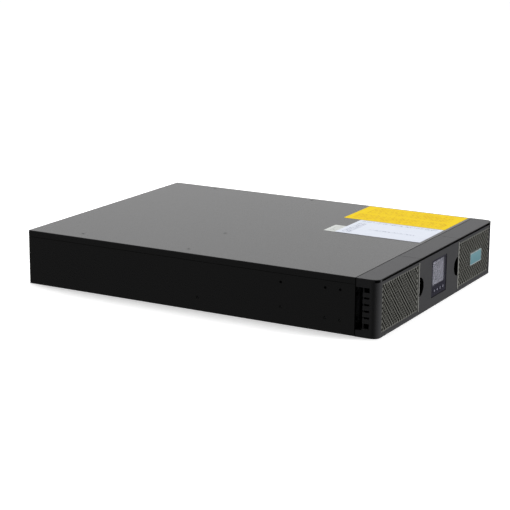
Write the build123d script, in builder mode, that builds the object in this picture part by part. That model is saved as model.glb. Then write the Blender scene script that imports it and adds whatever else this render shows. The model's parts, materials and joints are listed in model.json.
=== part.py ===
from build123d import *
import os

# Rack-mount uninterruptible power supply, two rack units high, as an assembly of
# separate pieces.  Millimetres.  X is the width, -Y is the front, +Z is up, and the
# origin is under the middle of the whole unit, on the surface it stands on.

# ---------------------------------------------------------------- driving dimensions
WIDTH = 440.0
HEIGHT = 86.0
BODY_DEPTH = 602.0          # front face to the rear edge of the steel chassis
REAR_REACH = 8.0            # rear fittings stand out this far behind the chassis
BEZEL_DEPTH = 35.0
BEZEL_GAP = 0.8             # dark joint between the bezel and the chassis
SHEET = 1.2                 # steel sheet
WALL = 2.5                  # moulded bezel wall
BOARD = 1.6                 # circuit board
PANEL_GAP = 0.6             # seam between the centre panel and an end cover

FRONT = -(BODY_DEPTH + REAR_REACH) / 2
REAR = FRONT + BODY_DEPTH
REACH = REAR + REAR_REACH
BEZEL_BACK = FRONT + BEZEL_DEPTH - BEZEL_GAP / 2
CHASSIS_FRONT = FRONT + BEZEL_DEPTH + BEZEL_GAP / 2
HALF = WIDTH / 2
CEILING = HEIGHT - SHEET                 # underside of the top cover
SEAM = 75.6                              # the top cover's side flange starts here
STEP = 1.5                               # side wall steps in behind that flange
FLANGE_EDGE = 188.0                      # inner edge of the base pan's top flanges
FLANGE_LOW = CEILING - SHEET
INNER_HALF = HALF - STEP - SHEET - 0.3   # half width that fits between the side walls

CROSS = 3.6                              # cross recess of every screw head
CROSS_SLOT = 0.9
PAN_HEAD_R = 2.9
PAN_HEAD = 2.2
UPWARD = (Align.CENTER, Align.CENTER, Align.MIN)
DOWNWARD = (Align.CENTER, Align.CENTER, Align.MAX)

os.makedirs("parts", exist_ok=True)


def at_y(y):
    """Upright plane across the unit at depth y; local x is the width, local y is up."""
    return Plane.XZ.offset(-y)


def block(low, high, mode=Mode.ADD):
    """A box between two opposite corners, in the part being built."""
    centre = [(a + b) / 2 for a, b in zip(low, high)]
    with Locations(tuple(centre)):
        Box(*[b - a for a, b in zip(low, high)], mode=mode)


# ---------------------------------------------------------------- base pan
# Bottom and side walls in one sheet; each wall steps in behind the cover's flange and
# folds over into a top flange.
EAR_HOLES = [(58.5, 20.5), (58.5, 65.0), (82.0, 20.5), (82.0, 65.0)]   # from front, up
RAIL_HOLES = [(153.7, 26.5), (153.7, 63.3), (293.4, 20.7)]
EAR_HOLE_R = 2.0
TAB_Z = [14.0, 66.0]
TAB_REACH = 14.0
CORNER_SCREW_X = HALF - SHEET - 8.0
SCREW_R = 1.6
COVER_SCREWS = [
    (-HALF + 23.0, FRONT + 322.6),
    (-HALF + 23.0, FRONT + 514.4),
    (HALF - 14.6, FRONT + 322.6),
    (HALF - 14.6, FRONT + 514.4),
]
BRACE_SCREW = (-HALF + 139.0, FRONT + 327.0)

with BuildPart() as base_pan:
    with BuildSketch(at_y(REAR)):
        with BuildLine():
            Polyline(
                (0, 0),
                (HALF, 0),
                (HALF, SEAM),
                (HALF - STEP, SEAM),
                (HALF - STEP, CEILING),
                (FLANGE_EDGE, CEILING),
                (FLANGE_EDGE, FLANGE_LOW),
                (HALF - STEP - SHEET, FLANGE_LOW),
                (HALF - STEP - SHEET, SEAM - SHEET),
                (HALF - SHEET, SEAM - SHEET),
                (HALF - SHEET, SHEET),
                (0, SHEET),
                close=True,
            )
        make_face()
        mirror(about=Plane.YZ)
    extrude(amount=REAR - CHASSIS_FRONT)
    fillet(base_pan.edges().filter_by(Axis.Y).group_by(Axis.Z)[0], 1.0)
    for side in (-1, 1):
        for z in TAB_Z:
            near, far = sorted((side * (HALF - SHEET - TAB_REACH), side * (HALF - SHEET)))
            block((near, REAR - 2 * SHEET, z - 6), (far, REAR - SHEET, z + 6))
    with BuildSketch(Plane.YZ.offset(-HALF)):
        for from_front, z in EAR_HOLES + RAIL_HOLES:
            with Locations((FRONT + from_front, z)):
                Circle(EAR_HOLE_R)
    extrude(amount=WIDTH, mode=Mode.SUBTRACT)
    with BuildSketch(at_y(REAR)):
        for x in (-CORNER_SCREW_X, CORNER_SCREW_X):
            for z in TAB_Z:
                with Locations((x, z)):
                    Circle(SCREW_R)
    extrude(amount=3 * SHEET, mode=Mode.SUBTRACT)
    with BuildSketch(Plane.XY.offset(CEILING)):
        with Locations(*COVER_SCREWS):
            Circle(SCREW_R)
    extrude(amount=-SHEET, mode=Mode.SUBTRACT)
base_pan.part.label = "base_pan"
export_step(base_pan.part, "parts/base_pan.step")

# Captive nuts pressed into the side walls for the rack ears and the rail.
NUT_R = 3.6
NUT_THICK = 2.5

with BuildPart() as side_nuts:
    for side in (-1, 1):
        with BuildSketch(Plane.YZ.offset(side * (HALF - SHEET))):
            for from_front, z in EAR_HOLES + RAIL_HOLES:
                with Locations((FRONT + from_front, z)):
                    Circle(NUT_R)
                    Circle(EAR_HOLE_R, mode=Mode.SUBTRACT)
        extrude(amount=-side * NUT_THICK)
side_nuts.part.label = "side_nuts"
export_step(side_nuts.part, "parts/side_nuts.step")

# ---------------------------------------------------------------- top cover and its screws
HEAD_R = 3.4
HEAD_DEEP = SHEET

with BuildPart() as top_cover:
    with BuildSketch(at_y(REAR)):
        with BuildLine():
            Polyline(
                (0, HEIGHT),
                (HALF, HEIGHT),
                (HALF, SEAM + 0.6),
                (HALF - SHEET, SEAM + 0.6),
                (HALF - SHEET, CEILING),
                (0, CEILING),
                close=True,
            )
        make_face()
        mirror(about=Plane.YZ)
    extrude(amount=REAR - CHASSIS_FRONT)
    fillet(top_cover.edges().filter_by(Axis.Y).group_by(Axis.Z)[-1], 1.0)
    with Locations(*[(x, y, HEIGHT) for x, y in COVER_SCREWS + [BRACE_SCREW]]):
        Cone(SCREW_R, HEAD_R, HEAD_DEEP, align=DOWNWARD, mode=Mode.SUBTRACT)
top_cover.part.label = "top_cover"
export_step(top_cover.part, "parts/top_cover.step")

# Countersunk screws with a cross recess.
SHANK = 5.0

with BuildPart() as cover_screws:
    with Locations(*[(x, y, HEIGHT) for x, y in COVER_SCREWS + [BRACE_SCREW]]):
        Cone(SCREW_R, HEAD_R, HEAD_DEEP, align=DOWNWARD)
        Cylinder(SCREW_R, HEAD_DEEP + SHANK, align=DOWNWARD)
        Box(CROSS, CROSS_SLOT, CROSS_SLOT, align=DOWNWARD, mode=Mode.SUBTRACT)
        Box(CROSS_SLOT, CROSS, CROSS_SLOT, align=DOWNWARD, mode=Mode.SUBTRACT)
cover_screws.part.label = "cover_screws"
export_step(cover_screws.part, "parts/cover_screws.step")

# Brace across the chassis, level with the side flanges, with a stiffening lip.
BRACE_WIDTH = 20.0

with BuildPart() as cross_brace:
    brace_y = BRACE_SCREW[1]
    block(
        (-FLANGE_EDGE, brace_y - BRACE_WIDTH / 2, FLANGE_LOW),
        (FLANGE_EDGE, brace_y + BRACE_WIDTH / 2, CEILING),
    )
    block(
        (-FLANGE_EDGE, brace_y - BRACE_WIDTH / 2, FLANGE_LOW - 9),
        (FLANGE_EDGE, brace_y - BRACE_WIDTH / 2 + SHEET, FLANGE_LOW),
    )
    with Locations((BRACE_SCREW[0], brace_y, CEILING)):
        Cylinder(SCREW_R, 4 * SHEET, mode=Mode.SUBTRACT)
cross_brace.part.label = "cross_brace"
export_step(cross_brace.part, "parts/cross_brace.step")

# ---------------------------------------------------------------- front bulkhead
# Steel wall behind the bezel: a doorway for the batteries on the left, a field of air
# holes on the right, and slots for the end covers' clip tabs.
BULKHEAD = CHASSIS_FRONT + 4.0            # its front face
DOOR_LOW = (-206.0, 8.0)
DOOR_HIGH = (-8.0, 76.0)
AIR_PITCH = 8.0
AIR_HOLE_R = 2.8
AIR_CENTRE = (148.0, 42.0)
AIR_COUNT = (14, 8)
TAB_X = (100.0, 196.0)                    # clip tabs, either side of the middle
TAB_SIZE = (10.0, 2.0)
TAB_HEIGHTS = (4.6, 81.4)
TAB_CLEAR = 0.5
DOOR_SCREWS = [
    (x, z) for x in (DOOR_LOW[0] - 5.0, DOOR_HIGH[0] + 4.0) for z in (24.0, 60.0)
]
CABLE_HOLE = (24.0, 42.0)                 # oblong hole for the display's ribbon cable
CABLE_HOLE_SIZE = (26.0, 12.0)

with BuildPart() as front_bulkhead:
    with BuildSketch(at_y(BULKHEAD)):
        with Locations((0, (SHEET + FLANGE_LOW) / 2)):
            Rectangle(2 * INNER_HALF, FLANGE_LOW - SHEET - 0.2)
        door_size = [b - a for a, b in zip(DOOR_LOW, DOOR_HIGH)]
        with Locations(tuple((a + b) / 2 for a, b in zip(DOOR_LOW, DOOR_HIGH))):
            RectangleRounded(*door_size, 3, mode=Mode.SUBTRACT)
        with Locations(AIR_CENTRE):
            with GridLocations(AIR_PITCH, AIR_PITCH, *AIR_COUNT):
                Circle(AIR_HOLE_R, mode=Mode.SUBTRACT)
        for x in TAB_X:
            for z in TAB_HEIGHTS:
                with Locations((x, z), (-x, z)):
                    Rectangle(*[size + 2 * TAB_CLEAR for size in TAB_SIZE], mode=Mode.SUBTRACT)
        with Locations(*DOOR_SCREWS):
            Circle(SCREW_R, mode=Mode.SUBTRACT)
        with Locations(CABLE_HOLE):
            RectangleRounded(*CABLE_HOLE_SIZE, 2, mode=Mode.SUBTRACT)
    extrude(amount=-SHEET)
front_bulkhead.part.label = "front_bulkhead"
export_step(front_bulkhead.part, "parts/front_bulkhead.step")

# Screwed plate that holds the batteries in, dished forward in the middle.
DISH = 2.6
CONNECTOR_SHIFT = -40.0                   # battery connector, from the door's middle
CONNECTOR_HOLE = (24.0, 16.0)
DISH_IN = (6.0, 16.0)                     # dish is this much smaller than the doorway
RETAINER = (14.0, -6.0)                   # plate is this much larger than the doorway

with BuildPart() as battery_retainer:
    door_centre = tuple((a + b) / 2 for a, b in zip(DOOR_LOW, DOOR_HIGH))
    dish_size = [door - less for door, less in zip(door_size, DISH_IN)]
    dish_inside = [size - 2 * SHEET for size in dish_size]
    with BuildSketch(at_y(BULKHEAD)):
        with Locations(door_centre):
            Rectangle(*[door + more for door, more in zip(door_size, RETAINER)])
            Rectangle(*dish_inside, mode=Mode.SUBTRACT)
        with Locations(*DOOR_SCREWS):
            Circle(SCREW_R + 0.2, mode=Mode.SUBTRACT)
    extrude(amount=SHEET)
    with BuildSketch(at_y(BULKHEAD - SHEET)):
        with Locations(door_centre):
            Rectangle(*dish_size)
            Rectangle(*dish_inside, mode=Mode.SUBTRACT)
    extrude(amount=DISH)
    with BuildSketch(at_y(BULKHEAD - DISH)):
        with Locations(door_centre):
            Rectangle(*dish_size)
            with Locations((CONNECTOR_SHIFT, 0)):
                Rectangle(*CONNECTOR_HOLE, mode=Mode.SUBTRACT)
    extrude(amount=SHEET)
battery_retainer.part.label = "battery_retainer"
export_step(battery_retainer.part, "parts/battery_retainer.step")

with BuildPart() as retainer_screws:
    with BuildSketch(at_y(BULKHEAD - SHEET)):
        with Locations(*DOOR_SCREWS):
            Circle(PAN_HEAD_R)
    extrude(amount=PAN_HEAD)
    with BuildSketch(at_y(BULKHEAD - SHEET)):
        with Locations(*DOOR_SCREWS):
            Circle(SCREW_R)
    extrude(amount=-7)
    with BuildSketch(at_y(BULKHEAD - SHEET - PAN_HEAD)):
        with Locations(*DOOR_SCREWS):
            Rectangle(CROSS, CROSS_SLOT)
            Rectangle(CROSS_SLOT, CROSS)
    extrude(amount=-CROSS_SLOT, mode=Mode.SUBTRACT)
retainer_screws.part.label = "retainer_screws"
export_step(retainer_screws.part, "parts/retainer_screws.step")

# Two-pole battery connector in the retainer's window, behind the left grille.
CONNECTOR_X = door_centre[0] + CONNECTOR_SHIFT
CONNECTOR_Z = door_centre[1]
CONNECTOR_BODY = (23.2, 15.2)
CONNECTOR_FLANGE = (28.0, 22.0)
CONTACT_HOLE = (8.0, 10.0)
CONTACT_PITCH = 11.0
PLATE_FACE = BULKHEAD - SHEET - DISH      # front of the dished plate
NOSE = 16.0                               # the connector stands this far in front of it

with BuildPart() as battery_connector:
    with BuildSketch(at_y(PLATE_FACE - NOSE)):
        with Locations((CONNECTOR_X, CONNECTOR_Z)):
            Rectangle(*CONNECTOR_BODY)
    extrude(amount=-NOSE - 5.6)
    with BuildSketch(at_y(PLATE_FACE)):
        with Locations((CONNECTOR_X, CONNECTOR_Z)):
            Rectangle(*CONNECTOR_FLANGE)
    extrude(amount=2.0)
    with BuildSketch(at_y(PLATE_FACE - NOSE)):
        with Locations((CONNECTOR_X, CONNECTOR_Z)):
            with GridLocations(CONTACT_PITCH, 1, 2, 1):
                Rectangle(*CONTACT_HOLE)
    extrude(amount=4.0 - NOSE, mode=Mode.SUBTRACT)
battery_connector.part.label = "battery_connector"
export_step(battery_connector.part, "parts/battery_connector.step")

# ---------------------------------------------------------------- battery bay
BATTERY = (94.0, 151.0, 65.0)             # across, deep, high, lying on its side
BATTERY_GAP = 2.0
BATTERY_FIRST = BULKHEAD + 12.0           # front face of the first battery
TRAY_LEFT = -INNER_HALF + 1.5
TRAY_RIGHT = -1.0
TRAY_FLOOR = SHEET + 0.3
COLUMN_X = (TRAY_LEFT + SHEET + 0.5, TRAY_RIGHT - SHEET - 0.5 - BATTERY[0])
TRAY_BACK = BATTERY_FIRST + 3 * BATTERY[1] + 2 * BATTERY_GAP + 3.0
TERMINAL = (5.0, 4.8, 6.3)

with BuildPart() as bay_divider:
    block((0, BULKHEAD + SHEET, SHEET), (SHEET, TRAY_BACK + 12, FLANGE_LOW))
    block((SHEET, BULKHEAD + SHEET, SHEET), (6, TRAY_BACK + 12, 2 * SHEET))
    block(
        (-SHEET, BRACE_SCREW[1] - BRACE_WIDTH / 2 - 1, FLANGE_LOW - 10),
        (2 * SHEET, BRACE_SCREW[1] + BRACE_WIDTH / 2 + 1, FLANGE_LOW + 1),
        mode=Mode.SUBTRACT,
    )
    with BuildSketch(Plane.YZ):
        with Locations((TRAY_BACK - 30, 60)):
            RectangleRounded(40, 14, 4)
    extrude(amount=SHEET, mode=Mode.SUBTRACT)
bay_divider.part.label = "bay_divider"
export_step(bay_divider.part, "parts/bay_divider.step")

with BuildPart() as battery_tray:
    tray_front = BATTERY_FIRST - 1.5
    block((TRAY_LEFT, tray_front, TRAY_FLOOR), (TRAY_RIGHT, TRAY_BACK, TRAY_FLOOR + SHEET))
    for x in (TRAY_LEFT, TRAY_RIGHT - SHEET):
        block((x, tray_front, TRAY_FLOOR), (x + SHEET, TRAY_BACK, 30))
    block((TRAY_LEFT, TRAY_BACK - SHEET, TRAY_FLOOR), (TRAY_RIGHT, TRAY_BACK, 30))
    block((TRAY_LEFT + 8, tray_front, TRAY_FLOOR), (TRAY_RIGHT - 8, tray_front + SHEET, 18))
battery_tray.part.label = "battery_tray"
export_step(battery_tray.part, "parts/battery_tray.step")


def battery_cell(x, y, facing):
    """One sealed block lying on its side, its two terminals on the face it turns in."""
    z = TRAY_FLOOR + SHEET
    with BuildPart() as cell:
        block((x, y, z), (x + BATTERY[0], y + BATTERY[1], z + BATTERY[2]))
        fillet(cell.edges().filter_by(Axis.X), 2.5)
        face = x + BATTERY[0] if facing > 0 else x
        lid = face - facing * 12
        block(
            (lid - 0.4, y, z + BATTERY[2] - 0.5),
            (lid + 0.4, y + BATTERY[1], z + BATTERY[2]),
            mode=Mode.SUBTRACT,
        )
        for dy in (14.0, BATTERY[1] - 14.0):
            low, high = sorted((face, face + facing * TERMINAL[0]))
            block(
                (low, y + dy - TERMINAL[1] / 2, z + 24),
                (high, y + dy + TERMINAL[1] / 2, z + 24 + TERMINAL[2]),
            )
    return cell.part


battery_number = 0
for x, facing in zip(COLUMN_X, (1, -1)):
    for row in range(3):
        battery_number += 1
        battery = battery_cell(x, BATTERY_FIRST + row * (BATTERY[1] + BATTERY_GAP), facing)
        battery.label = f"battery_{battery_number}"
        export_step(battery, f"parts/battery_{battery_number}.step")

# ---------------------------------------------------------------- front bezel
# Three mouldings: a centre panel fixed to the bulkhead and two end covers that pull off.
# Their seams curve gently across the top; a deep shadow groove runs under the top lip.
SEAM_FRONT = 73.8
SEAM_MIDDLE = 73.8
SEAM_BACK = 76.5
SEAM_LEAST = 73.4                         # the arc between them dips to here
CORNER_R = 11.0
GROOVE_LOW = 81.4
GROOVE_HIGH = 84.9
GROOVE_DEEP = 4.0
GROOVE_WALL = 1.2
GROOVE_END = HALF - 13.0
NOTCH_R = 15.0
NOTCH_Z = 42.0
NOTCH_DEEP = 16.0
GRILLE_X = (78.0, 206.5)                  # window in an end cover, from the middle
GRILLE_Z = (5.0, 79.0)
MIDDLE_Y = (FRONT + BEZEL_BACK) / 2


def seam_line(shift):
    """Seam between the mouldings in plan, moved outwards by shift."""
    ThreePointArc(
        (SEAM_FRONT + shift, FRONT),
        (SEAM_MIDDLE + shift, MIDDLE_Y),
        (SEAM_BACK + shift, BEZEL_BACK),
    )


def cover_plan(inset):
    """Plan of the right end cover, drawn in by inset; the outer front corner is round."""
    with BuildSketch() as plan:
        with BuildLine():
            seam_line(PANEL_GAP / 2)
            Line((SEAM_BACK + PANEL_GAP / 2, BEZEL_BACK), (HALF, BEZEL_BACK))
            Line((HALF, BEZEL_BACK), (HALF, FRONT + CORNER_R))
            RadiusArc((HALF, FRONT + CORNER_R), (HALF - CORNER_R, FRONT), CORNER_R)
            Line((HALF - CORNER_R, FRONT), (SEAM_FRONT + PANEL_GAP / 2, FRONT))
        make_face()
        if inset:
            offset(amount=-inset, mode=Mode.REPLACE)
    return plan.sketch


EAR_SLOT = (FRONT + 24.0, 10.0, 73.0)     # notch for a rack ear: front edge, low, high
RIB_FRONT = FRONT + 13.0
RIB_PITCH = 9.6
RIB_THICK = 6.6
RIB_FIRST = 24.0
RIB_COUNT = 5
RIB_SUNK = 1.0                            # the ribs lie this far below the side face
RIB_SPINE = 3.0
CLIP_LENGTH = 9.0
CLIP_ROOT = 12.0


def end_cover():
    """Right end cover; the left one is its mirror image."""
    with BuildPart() as shell:
        extrude(cover_plan(0), amount=HEIGHT)
        fillet(shell.edges().group_by(Axis.Z)[-1].filter_by(Axis.X), 0.6)
        with BuildSketch(Plane.XY.offset(WALL)):
            add(cover_plan(WALL))
        extrude(amount=HEIGHT - 2 * WALL, mode=Mode.SUBTRACT)
        with BuildSketch(at_y(BEZEL_BACK)):
            with Locations(((SEAM_BACK + HALF) / 2, HEIGHT / 2)):
                Rectangle(HALF - SEAM_BACK - 2 * WALL - 1, HEIGHT - 2 * WALL)
        extrude(amount=2 * WALL, mode=Mode.SUBTRACT)
        with BuildSketch(at_y(FRONT)):
            with Locations(((GRILLE_X[0] + GRILLE_X[1]) / 2, (GRILLE_Z[0] + GRILLE_Z[1]) / 2)):
                Rectangle(GRILLE_X[1] - GRILLE_X[0], GRILLE_Z[1] - GRILLE_Z[0])
        extrude(amount=-2 * WALL, mode=Mode.SUBTRACT)
        block(
            (SEAM_FRONT + PANEL_GAP, FRONT + WALL, GROOVE_LOW - GROOVE_WALL),
            (GROOVE_END + 1, FRONT + GROOVE_DEEP + 1, GROOVE_HIGH),
        )
        block(
            (SEAM_FRONT - 5, FRONT, GROOVE_LOW),
            (GROOVE_END, FRONT + GROOVE_DEEP, GROOVE_HIGH),
            mode=Mode.SUBTRACT,
        )
        block(
            (SEAM_FRONT - 2, FRONT + WALL, NOTCH_Z - NOTCH_R),
            (SEAM_FRONT + 2 * WALL, FRONT + NOTCH_DEEP, NOTCH_Z + NOTCH_R),
            mode=Mode.SUBTRACT,
        )
        block(
            (HALF - 2 * WALL, EAR_SLOT[0], EAR_SLOT[1]),
            (HALF + 1, BEZEL_BACK + 1, EAR_SLOT[2]),
            mode=Mode.SUBTRACT,
        )
        block(
            (HALF - 2 * WALL, RIB_FRONT, EAR_SLOT[1] + 3),
            (HALF + 1, EAR_SLOT[0], EAR_SLOT[2]),
            mode=Mode.SUBTRACT,
        )
        for rib in range(RIB_COUNT):
            z = RIB_FIRST + rib * RIB_PITCH
            block(
                (HALF - WALL, RIB_FRONT - 1, z - RIB_THICK / 2),
                (HALF - RIB_SUNK, EAR_SLOT[0], z + RIB_THICK / 2),
            )
        block(
            (HALF - WALL - RIB_SPINE, EAR_SLOT[0] - 1.6, EAR_SLOT[1] - 2),
            (HALF - WALL, EAR_SLOT[0], EAR_SLOT[2] + 2),
        )
        for x in TAB_X:
            for z, root in zip(TAB_HEIGHTS, (WALL, HEIGHT - WALL)):
                half_tab = TAB_SIZE[0] / 2
                low, high = sorted((z, root))
                block((x - half_tab, BEZEL_BACK - CLIP_ROOT, low), (x + half_tab, BEZEL_BACK - 1, high))
                block(
                    (x - half_tab, BEZEL_BACK - CLIP_ROOT, z - TAB_SIZE[1] / 2),
                    (x + half_tab, BEZEL_BACK + CLIP_LENGTH, z + TAB_SIZE[1] / 2),
                )
    return shell.part


right_end_cover = end_cover()
right_end_cover.label = "right_end_cover"
export_step(right_end_cover, "parts/right_end_cover.step")
left_end_cover = mirror(right_end_cover, about=Plane.YZ)
left_end_cover.label = "left_end_cover"
export_step(left_end_cover, "parts/left_end_cover.step")

# Grilles: a sheet of small square holes set on their corners, behind a thin flange.
MESH_PITCH = 7.9
MESH_HOLE = 4.4
MESH_FACE = FRONT + 0.6
MESH_THICK = 2.4
MESH_FIT = 0.15
MESH_EDGE = 1.0                           # least width left outside the last holes
MESH_RIM = 1.2                            # rim behind the cover that holds the insert
BADGE_SIZE = (47.0, 19.0)
BADGE_CENTRE = (150.0, 40.0)


def grille(side, badge_seat):
    """Mesh insert of one end cover; side is -1 on the left and 1 on the right."""
    width = GRILLE_X[1] - GRILLE_X[0] - 2 * MESH_FIT
    height = GRILLE_Z[1] - GRILLE_Z[0] - 2 * MESH_FIT
    centre = (side * (GRILLE_X[0] + GRILLE_X[1]) / 2, (GRILLE_Z[0] + GRILLE_Z[1]) / 2)
    border = MESH_HOLE * 2 ** 0.5 + 2 * MESH_EDGE
    columns = int((width - border) / MESH_PITCH) + 1
    rows = int((height - border) / MESH_PITCH) + 1
    with BuildPart() as mesh:
        with BuildSketch(at_y(MESH_FACE)):
            with Locations(centre):
                Rectangle(width, height)
                with GridLocations(MESH_PITCH, MESH_PITCH, columns, rows):
                    Rectangle(MESH_HOLE, MESH_HOLE, rotation=45, mode=Mode.SUBTRACT)
                with GridLocations(MESH_PITCH, MESH_PITCH, columns - 1, rows - 1):
                    Rectangle(MESH_HOLE, MESH_HOLE, rotation=45, mode=Mode.SUBTRACT)
            if badge_seat:
                with Locations(BADGE_CENTRE):
                    Rectangle(BADGE_SIZE[0] + 2, BADGE_SIZE[1] + 2)
        extrude(amount=-MESH_THICK)
        with BuildSketch(at_y(FRONT + WALL)):
            with Locations(centre):
                Rectangle(width + 2 * MESH_RIM, height + 2 * MESH_RIM)
                Rectangle(width - 2 * MESH_EDGE, height - 2 * MESH_EDGE, mode=Mode.SUBTRACT)
        extrude(amount=-SHEET)
    return mesh.part


left_grille = grille(-1, badge_seat=False)
left_grille.label = "left_grille"
export_step(left_grille, "parts/left_grille.step")
right_grille = grille(1, badge_seat=True)
right_grille.label = "right_grille"
export_step(right_grille, "parts/right_grille.step")

with BuildPart() as badge:
    with BuildSketch(at_y(MESH_FACE)):
        with Locations(BADGE_CENTRE):
            RectangleRounded(*BADGE_SIZE, 1.5)
    extrude(amount=MESH_FACE - FRONT)
badge.part.label = "badge"
export_step(badge.part, "parts/badge.step")

# Centre panel: box open at the back, square window for the display, and a half-round
# finger pocket at each seam.
DISPLAY = (56.0, 56.6)
DISPLAY_Z = 43.3
DISPLAY_FIT = 0.5
POCKET_WALL = 1.8
POCKET_BACK = FRONT + 31.0

with BuildPart() as centre_panel:
    with BuildSketch():
        with BuildLine():
            seam_line(-PANEL_GAP / 2)
            Line((SEAM_BACK - PANEL_GAP / 2, BEZEL_BACK), (0, BEZEL_BACK))
            Line((0, BEZEL_BACK), (0, FRONT))
            Line((0, FRONT), (SEAM_FRONT - PANEL_GAP / 2, FRONT))
        make_face()
        mirror(about=Plane.YZ)
    extrude(amount=HEIGHT)
    fillet(centre_panel.edges().group_by(Axis.Z)[-1].filter_by(Axis.X), 0.6)
    block(
        (-SEAM_LEAST + 2 * WALL, FRONT + WALL, WALL),
        (SEAM_LEAST - 2 * WALL, BEZEL_BACK + 1, HEIGHT - WALL),
        mode=Mode.SUBTRACT,
    )
    with BuildSketch(at_y(FRONT)):
        with Locations((0, DISPLAY_Z)):
            Rectangle(DISPLAY[0] + 2 * DISPLAY_FIT, DISPLAY[1] + 2 * DISPLAY_FIT)
    extrude(amount=-2 * WALL, mode=Mode.SUBTRACT)
    block(
        (-SEAM_FRONT + WALL, FRONT + WALL, GROOVE_LOW - GROOVE_WALL),
        (SEAM_FRONT - WALL, FRONT + GROOVE_DEEP + 1, HEIGHT - WALL),
    )
    block(
        (-SEAM_BACK, FRONT, GROOVE_LOW),
        (SEAM_BACK, FRONT + GROOVE_DEEP, GROOVE_HIGH),
        mode=Mode.SUBTRACT,
    )
    for side in (-1, 1):
        with BuildSketch(at_y(FRONT)):
            with Locations((side * SEAM_FRONT, NOTCH_Z)):
                Circle(NOTCH_R + POCKET_WALL)
            with Locations((side * (SEAM_LEAST - PANEL_GAP / 2 + HALF), NOTCH_Z)):
                Rectangle(2 * HALF, 4 * NOTCH_R, mode=Mode.SUBTRACT)
        extrude(amount=-NOTCH_DEEP - POCKET_WALL)
        with BuildSketch(at_y(FRONT)):
            with Locations((side * SEAM_FRONT, NOTCH_Z)):
                Circle(NOTCH_R)
        extrude(amount=-NOTCH_DEEP, mode=Mode.SUBTRACT)
centre_panel.part.label = "centre_panel"
export_step(centre_panel.part, "parts/centre_panel.step")

# Square sleeve behind the panel that guides the display module.
with BuildPart() as display_cradle:
    sleeve = [s + 2 * DISPLAY_FIT for s in DISPLAY]
    with BuildSketch(at_y(FRONT + WALL)):
        with Locations((0, DISPLAY_Z)):
            Rectangle(sleeve[0] + 2 * POCKET_WALL, sleeve[1] + 2 * POCKET_WALL)
            Rectangle(*sleeve, mode=Mode.SUBTRACT)
    extrude(amount=FRONT + WALL - POCKET_BACK)
    with BuildSketch(at_y(POCKET_BACK)):
        with Locations((0, DISPLAY_Z)):
            Rectangle(sleeve[0] + 2 * POCKET_WALL, sleeve[1] + 2 * POCKET_WALL)
            Rectangle(20, 8, mode=Mode.SUBTRACT)
    extrude(amount=-POCKET_WALL)
display_cradle.part.label = "display_cradle"
export_step(display_cradle.part, "parts/display_cradle.step")

# ---------------------------------------------------------------- display module
MODULE_FACE = FRONT + 0.6
MODULE_BACK = FRONT + 24.0
FACE_WALL = 2.0
SIDE_WALL = 1.8
WINDOW = (47.0, 37.0)
WINDOW_Z = 50.5
WINDOW_SUNK = 0.3
BUTTON = (7.6, 4.6)
BUTTON_Z = 23.5
BUTTON_X = {"up_button": -16.5, "down_button": -5.5, "enter_button": 5.5, "power_button": 16.5}
BUTTON_FIT = 0.35
BUTTON_TRAVEL = 0.8
BUTTON_PROUD = 0.5
BOARD_FACE = MODULE_FACE + 8.0
BOSS_PITCH = (44.0, 46.0)
COVER_THICK = 2.0

with BuildPart() as display_housing:
    with BuildSketch(at_y(MODULE_FACE)):
        with Locations((0, DISPLAY_Z)):
            RectangleRounded(*DISPLAY, 1.5)
    extrude(amount=MODULE_FACE - MODULE_BACK)
    fillet(display_housing.faces().sort_by(Axis.Y)[0].edges(), 0.5)
    block(
        (-DISPLAY[0] / 2 + SIDE_WALL, MODULE_FACE + FACE_WALL, DISPLAY_Z - DISPLAY[1] / 2 + SIDE_WALL),
        (DISPLAY[0] / 2 - SIDE_WALL, MODULE_BACK + 1, DISPLAY_Z + DISPLAY[1] / 2 - SIDE_WALL),
        mode=Mode.SUBTRACT,
    )
    with BuildSketch(at_y(MODULE_FACE)):
        with Locations((0, WINDOW_Z)):
            Rectangle(*WINDOW)
        for x in BUTTON_X.values():
            with Locations((x, BUTTON_Z)):
                RectangleRounded(BUTTON[0] + 2 * BUTTON_FIT, BUTTON[1] + 2 * BUTTON_FIT, 1)
    extrude(amount=-FACE_WALL, mode=Mode.SUBTRACT)
display_housing.part.label = "display_housing"
export_step(display_housing.part, "parts/display_housing.step")

with BuildPart() as display_window:
    with BuildSketch(at_y(MODULE_FACE + WINDOW_SUNK)):
        with Locations((0, WINDOW_Z)):
            Rectangle(WINDOW[0] - 0.1, WINDOW[1] - 0.1)
    extrude(amount=WINDOW_SUNK - FACE_WALL)
display_window.part.label = "display_window"
export_step(display_window.part, "parts/display_window.step")

with BuildPart() as lcd_panel:
    with BuildSketch(at_y(MODULE_FACE + FACE_WALL)):
        with Locations((0, WINDOW_Z)):
            Rectangle(WINDOW[0] + 3, WINDOW[1] + 1)
    extrude(amount=MODULE_FACE + FACE_WALL - BOARD_FACE)
lcd_panel.part.label = "lcd_panel"
export_step(lcd_panel.part, "parts/lcd_panel.step")

with BuildPart() as display_board:
    with BuildSketch(at_y(BOARD_FACE)):
        with Locations((0, DISPLAY_Z)):
            Rectangle(DISPLAY[0] - 2 * SIDE_WALL - 0.4, DISPLAY[1] - 2 * SIDE_WALL - 0.4)
            with GridLocations(*BOSS_PITCH, 2, 2):
                Circle(1.3, mode=Mode.SUBTRACT)
    extrude(amount=-BOARD)
display_board.part.label = "display_board"
export_step(display_board.part, "parts/display_board.step")

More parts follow.
